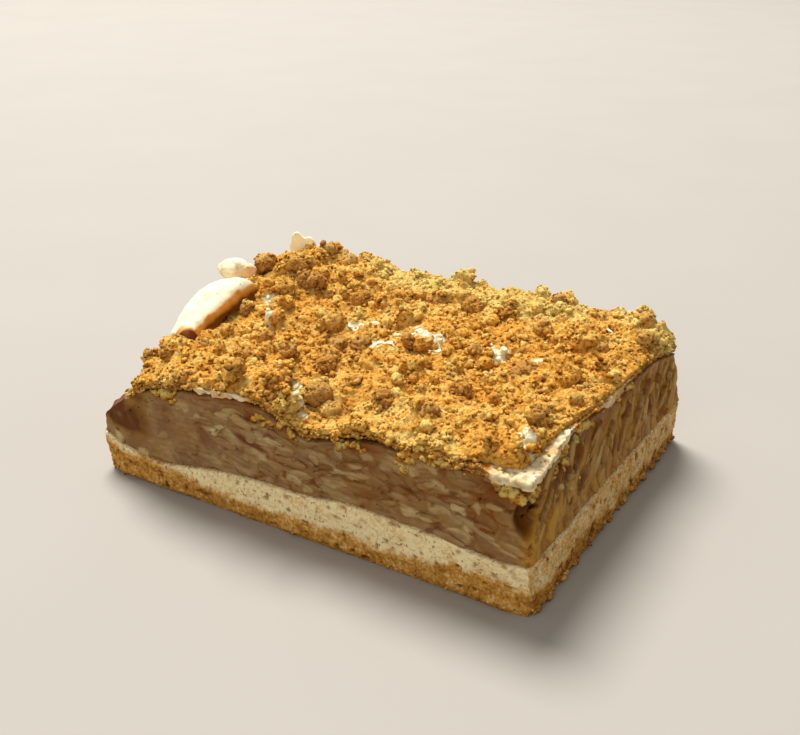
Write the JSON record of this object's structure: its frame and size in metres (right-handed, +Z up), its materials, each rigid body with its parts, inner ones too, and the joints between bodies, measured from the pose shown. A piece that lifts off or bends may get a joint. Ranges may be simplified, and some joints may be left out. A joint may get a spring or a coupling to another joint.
{
  "type": "apple crumble cake slab",
  "caption": "Rectangular cut slab of apple cake: shortcrust base, thick sliced apple filling, thin baked meringue and a lumpy crumble topping with broken meringue pieces.",
  "frame": {"origin": "centre of the bounding box in plan, on the flat underside of the base", "axes": "+Z up; X along the long cut face, +X towards the short cut face; the long cut face that shows the filling faces -Y, and the side that was baked against the tin faces -X"},
  "size_m": [0.2038, 0.1554, 0.0746],
  "materials": {
    "baked_shortcrust": null,
    "baked_apple": null,
    "baked_meringue": null,
    "golden_crumble": null
  },
  "bodies": {
    "root": {"pastry_base": "baked_shortcrust", "apple_filling": "baked_apple", "meringue_layer": "baked_meringue", "crumble_topping": "golden_crumble", "meringue_shell": "baked_meringue", "meringue_nugget": "baked_meringue", "meringue_flake": "baked_meringue"}
  },
  "joints": []
}
